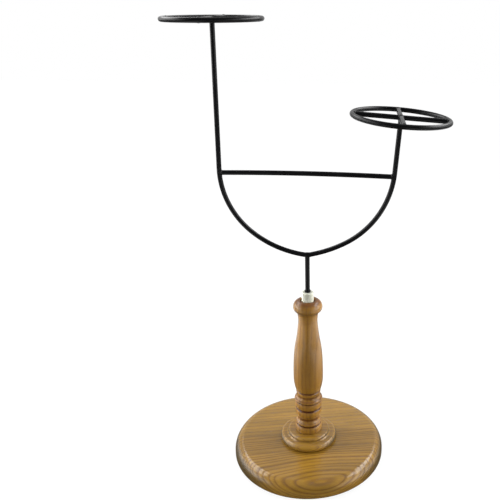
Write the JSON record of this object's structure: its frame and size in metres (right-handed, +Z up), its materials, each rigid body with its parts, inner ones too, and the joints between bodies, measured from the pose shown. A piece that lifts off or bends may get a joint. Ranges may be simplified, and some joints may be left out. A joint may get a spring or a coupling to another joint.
{
  "type": "hat and wig display stand",
  "caption": "Tiered hat and wig stand: turned round wooden foot and post, and a forked black wire frame that carries a flat spoked ring at each tip and turns in a plastic bush.",
  "frame": {"origin": "centre of the flat face under the foot that the stand rests on, on the post's axis", "axes": "+Z up along the post and stem, the wire frame in the XZ plane at rest, +X towards the shorter arm and the lower ring"},
  "size_m": [0.3383, 0.2, 0.5758],
  "materials": {
    "varnished_oak": "honey-stained oak under gloss varnish",
    "black_wire": "glossy black coating on round steel wire",
    "white_plastic": "smooth, slightly translucent white",
    "zinc_steel": "bright zinc plate",
    "felt": "dense wool felt"
  },
  "bodies": {
    "foot": {"foot_front_board": "varnished_oak", "foot_back_board": "varnished_oak", "felt_disc": "felt", "step_ring": "varnished_oak", "post": "varnished_oak", "post_screw": "zinc_steel", "screw_washer": "zinc_steel"},
    "bush": {"socket_bush": "white_plastic"},
    "wire_frame": {"stem": "black_wire", "stop_collar": "black_wire", "long_arm": "black_wire", "short_arm": "black_wire", "crossbar": "black_wire", "upper_ring": "black_wire", "upper_spoke": "black_wire", "upper_half_spoke_front": "black_wire", "upper_half_spoke_back": "black_wire", "lower_ring": "black_wire", "lower_spoke": "black_wire", "lower_half_spoke_front": "black_wire", "lower_half_spoke_back": "black_wire"}
  },
  "joints": [
    {"name": "frame_swivel", "type": "hinge", "parent": "foot", "child": "bush", "pos_m": [0, 0, 0.2], "axis": [0, 0, 1], "continuous": true},
    {"name": "frame_lift", "type": "slide", "parent": "bush", "child": "wire_frame", "axis": [0, 0, 1], "range_m": [0, 0.065]}
  ]
}
